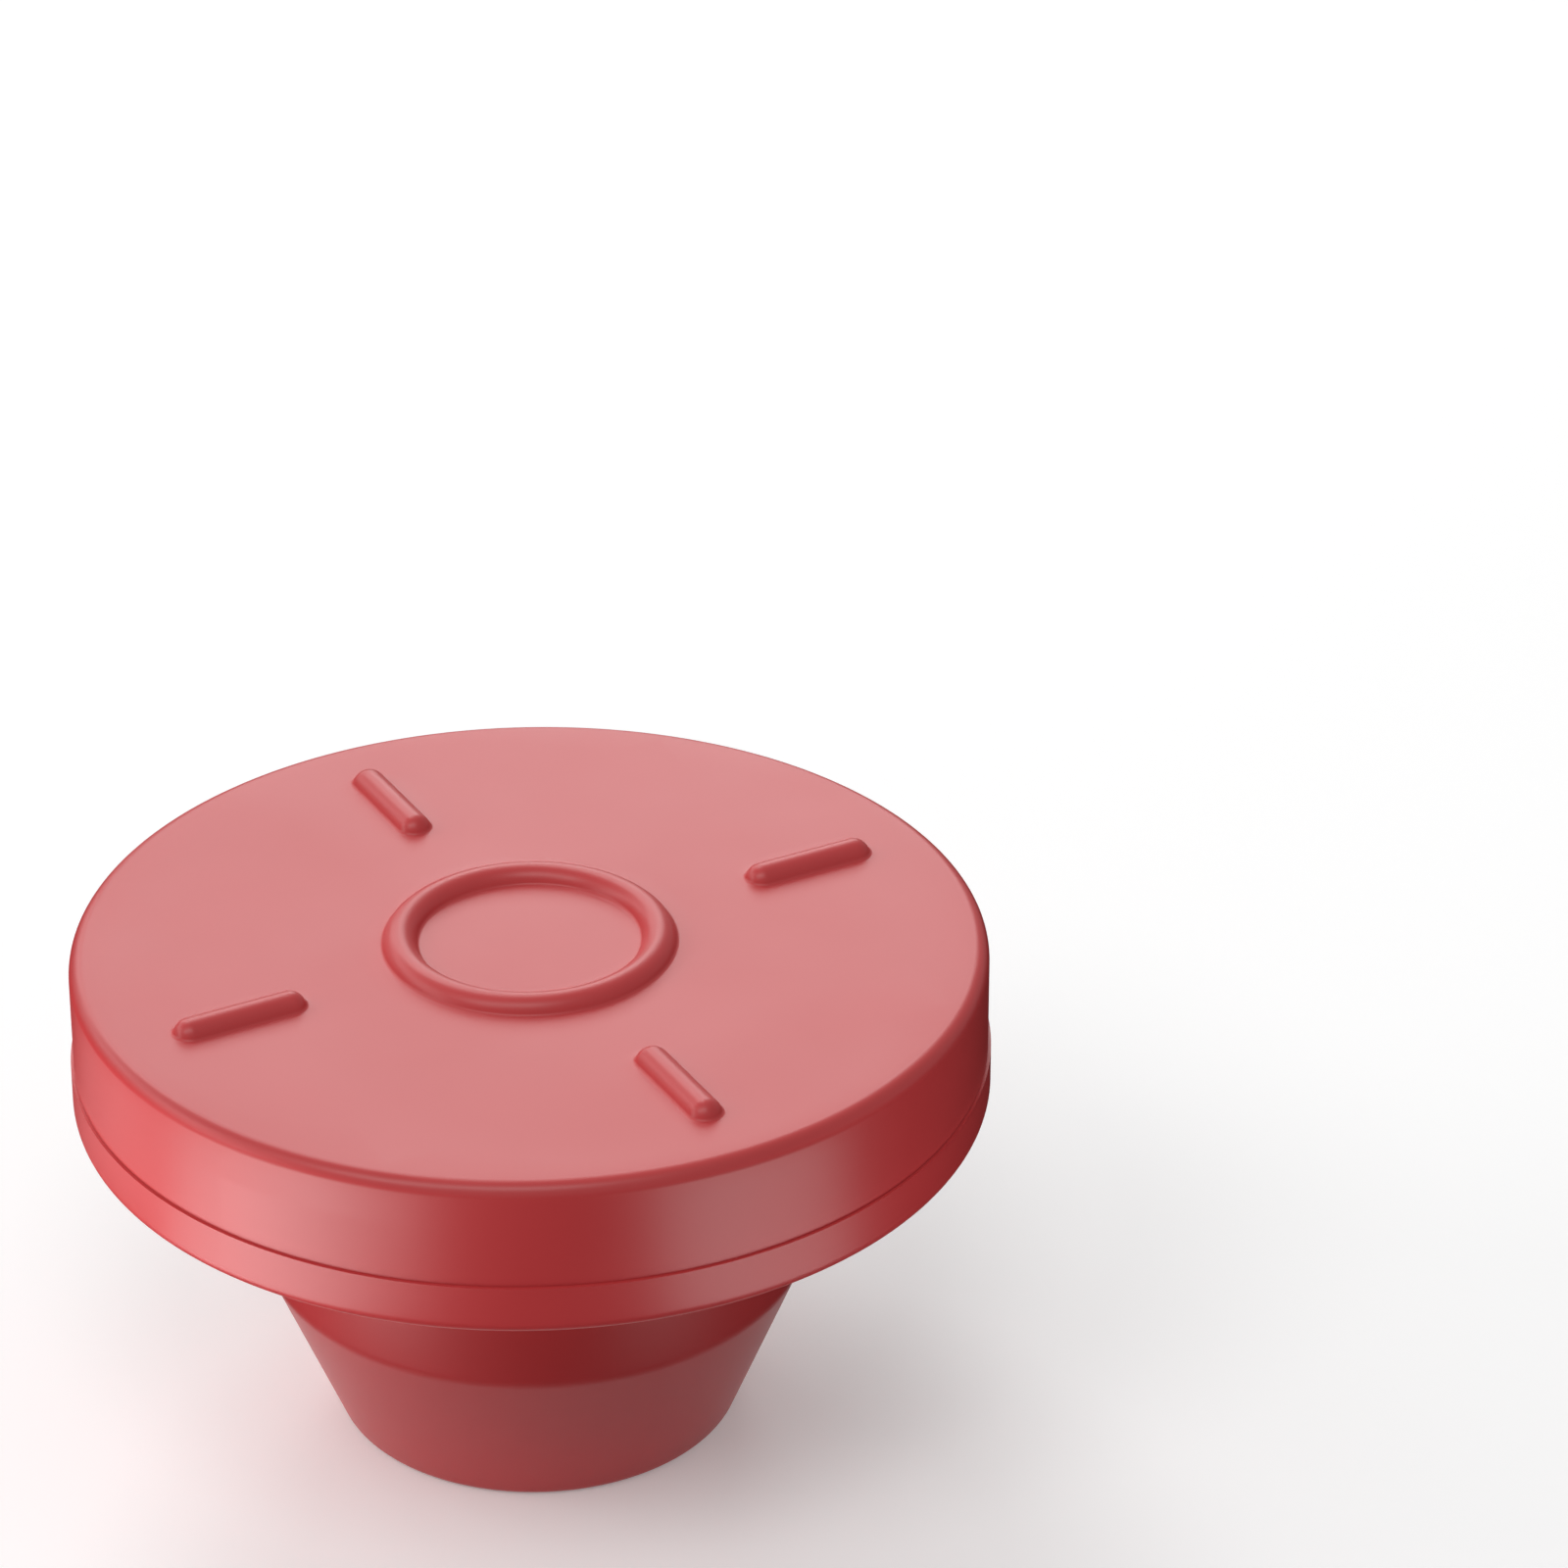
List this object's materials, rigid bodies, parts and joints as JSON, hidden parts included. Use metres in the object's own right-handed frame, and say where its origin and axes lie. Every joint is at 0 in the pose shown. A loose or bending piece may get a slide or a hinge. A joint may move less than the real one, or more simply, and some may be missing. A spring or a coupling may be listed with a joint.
{
  "type": "rubber stopper",
  "caption": "Moulded rubber stopper for a small crimp-top vial, with a wide flange, a tapered hollow plug, a target ring and radial ribs on top.",
  "frame": {"origin": "centre of the plug's open end, on the surface that the stopper stands on", "axes": "+Z along the axis, from the plug's open end to the flange's top face; X and Y run along the ribs"},
  "size_m": [0.0125, 0.0124, 0.0074],
  "materials": {
    "rubber": "satin moulded rubber, red"
  },
  "bodies": {
    "root": {"stopper": "rubber"}
  },
  "joints": []
}
